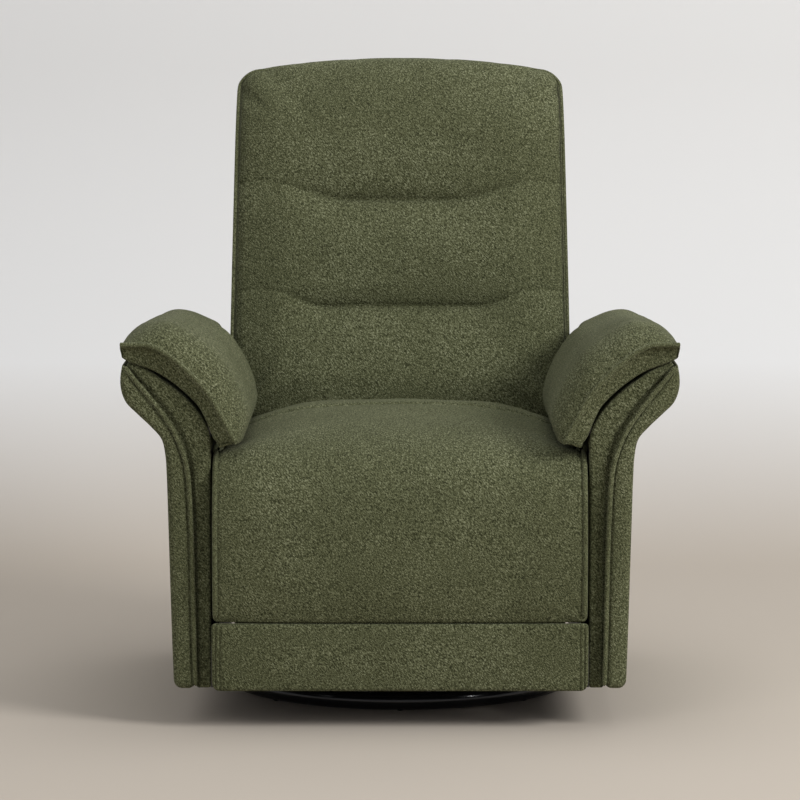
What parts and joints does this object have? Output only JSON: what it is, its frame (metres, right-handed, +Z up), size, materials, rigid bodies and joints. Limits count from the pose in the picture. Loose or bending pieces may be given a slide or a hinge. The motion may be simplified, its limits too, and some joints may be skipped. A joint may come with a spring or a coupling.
{
  "type": "swivel glider recliner",
  "caption": "Upholstered armchair that swivels, glides and reclines, with a channelled back, pillow arms, a fold-out footrest and a round floor ring.",
  "frame": {"origin": "on the floor, under the swivel axis and the middle of the chair", "axes": "+X to the right seen from the front, +Y to the rear, +Z up"},
  "size_m": [0.9044, 0.945, 1.0585],
  "materials": {
    "green_fabric": "olive green bouclé-like pile",
    "black_enamel": "semi-gloss black",
    "black_steel": "satin black electro-coat",
    "zinc_steel": "zinc plated",
    "timber": "raw plywood and softwood",
    "black_plastic": "moulded, fine grain",
    "webbing": "woven elastic webbing"
  },
  "bodies": {
    "base": {"base_ring": "black_enamel", "base_cross_bars": "black_enamel", "base_glides": "black_plastic", "bearing_lower_race": "zinc_steel", "bearing_slide_ring": "black_plastic"},
    "turntable": {"bearing_upper_race": "zinc_steel", "swivel_bolt": "zinc_steel", "glider_plate": "black_steel", "glider_upright_left": "black_steel", "glider_upright_right": "black_steel", "glider_pins": "zinc_steel"},
    "glide_links_front": {"glide_links_front": "black_steel"},
    "glide_links_rear": {"glide_links_rear": "black_steel"},
    "chair_frame": {"carriage_rail_left": "black_steel", "carriage_rail_right": "black_steel", "carriage_pins": "zinc_steel", "front_cross_rail": "black_steel", "rear_cross_rail": "black_steel", "mechanism_base_left": "black_steel", "mechanism_base_right": "black_steel", "mechanism_base_pins": "zinc_steel", "arm_frame_left": "timber", "arm_frame_right": "timber", "arm_cover_left": "green_fabric", "arm_cover_right": "green_fabric", "arm_pad_left": "green_fabric", "arm_pad_right": "green_fabric", "front_rail": "timber", "front_panel": "green_fabric", "rear_rail": "timber", "rear_skirt": "green_fabric", "release_bezel": "black_plastic"},
    "swing_links_front": {"swing_links_front": "black_steel"},
    "bell_cranks": {"bell_cranks": "black_steel"},
    "drag_links": {"drag_links": "black_steel", "drag_link_pins": "zinc_steel"},
    "seat": {"seat_rail_left": "black_steel", "seat_rail_right": "black_steel", "seat_rail_pins": "zinc_steel", "seat_frame": "timber", "seat_webbing": "webbing", "seat_cushion": "green_fabric"},
    "back": {"back_bracket_left": "black_steel", "back_bracket_right": "black_steel", "back_frame": "timber", "back_webbing": "webbing", "back_cushion": "green_fabric", "back_cover": "green_fabric"},
    "footrest": {"footrest_brackets": "black_steel", "footrest_board": "timber", "footrest_pad": "green_fabric"},
    "footrest_drive": {"footrest_drive_links": "black_steel", "footrest_drive_tube": "black_steel"},
    "footrest_rear_links": {"footrest_rear_links": "black_steel"},
    "footrest_arms": {"footrest_arms": "black_steel", "footrest_arm_pins": "zinc_steel"},
    "footrest_stays": {"footrest_stays": "black_steel", "footrest_stay_pins": "zinc_steel"},
    "release_paddle": {"release_paddle": "black_plastic"}
  },
  "joints": [
    {"name": "swivel", "type": "hinge", "parent": "base", "child": "turntable", "pos_m": [0, 0, 0], "axis": [0, 0, 1], "continuous": true},
    {"name": "glide", "type": "hinge", "parent": "turntable", "child": "glide_links_front", "pos_m": [0, -0.11, 0.24], "axis": [1, 0, 0], "range_deg": [-20, 20]},
    {"name": "glide_rear", "type": "hinge", "parent": "turntable", "child": "glide_links_rear", "pos_m": [0, 0.11, 0.24], "axis": [1, 0, 0], "range_deg": [-20, 20]},
    {"name": "carriage_front", "type": "hinge", "parent": "glide_links_front", "child": "chair_frame", "pos_m": [0, -0.11, 0.12], "axis": [1, 0, 0], "range_deg": [-20, 20]},
    {"name": "recline", "type": "hinge", "parent": "chair_frame", "child": "bell_cranks", "pos_m": [0, 0, 0.33], "axis": [-1, 0, 0], "range_deg": [0, 40]},
    {"name": "swing_front", "type": "hinge", "parent": "chair_frame", "child": "swing_links_front", "pos_m": [0, -0.15, 0.33], "axis": [-1, 0, 0], "range_deg": [0, 40]},
    {"name": "seat_hang", "type": "hinge", "parent": "bell_cranks", "child": "seat", "pos_m": [0, 0.01553, 0.27204], "axis": [-1, 0, 0], "range_deg": [-40, 0]},
    {"name": "back_hinge", "type": "hinge", "parent": "seat", "child": "back", "pos_m": [0, 0.13, 0.34], "axis": [-1, 0, 0], "range_deg": [0, 40]},
    {"name": "drag_link_pivot", "type": "hinge", "parent": "bell_cranks", "child": "drag_links", "pos_m": [0, 0.05239, 0.24623], "axis": [-1, 0, 0], "range_deg": [-40, 0]},
    {"name": "footrest", "type": "hinge", "parent": "seat", "child": "footrest", "pos_m": [0, -0.48, 0.462], "axis": [-1, 0, 0], "range_deg": [0, 90]},
    {"name": "footrest_drive_pivot", "type": "hinge", "parent": "seat", "child": "footrest_drive", "pos_m": [0, -0.235, 0.322], "axis": [-1, 0, 0], "range_deg": [0, 90]},
    {"name": "footrest_rear_pivot", "type": "hinge", "parent": "seat", "child": "footrest_rear_links", "pos_m": [0, -0.155, 0.312], "axis": [-1, 0, 0], "range_deg": [0, 90]},
    {"name": "footrest_arm_pivot", "type": "hinge", "parent": "footrest_drive", "child": "footrest_arms", "pos_m": [0, -0.11, 0.147], "axis": [-1, 0, 0], "range_deg": [-90, 0]},
    {"name": "footrest_stay_pivot", "type": "hinge", "parent": "footrest_drive", "child": "footrest_stays", "pos_m": [0, -0.124, 0.209], "axis": [-1, 0, 0], "range_deg": [-90, 0]},
    {"name": "release", "type": "hinge", "parent": "chair_frame", "child": "release_paddle", "pos_m": [-0.36989, -0.18, 0.3545], "axis": [0, 1, 0], "range_deg": [0, 30], "stiffness_Nm_per_rad": 0.3, "springref_deg": -11.46}
  ],
  "couplings": [
    {"joint": "glide_rear", "follows": "glide", "ratio": 1},
    {"joint": "carriage_front", "follows": "glide", "ratio": -1},
    {"joint": "swing_front", "follows": "recline", "ratio": 1},
    {"joint": "seat_hang", "follows": "recline", "ratio": -1},
    {"joint": "back_hinge", "follows": "recline", "ratio": 1},
    {"joint": "drag_link_pivot", "follows": "recline", "ratio": -1},
    {"joint": "footrest_drive_pivot", "follows": "footrest", "ratio": 1},
    {"joint": "footrest_rear_pivot", "follows": "footrest", "ratio": 1},
    {"joint": "footrest_arm_pivot", "follows": "footrest", "ratio": -1},
    {"joint": "footrest_stay_pivot", "follows": "footrest", "ratio": -1}
  ]
}
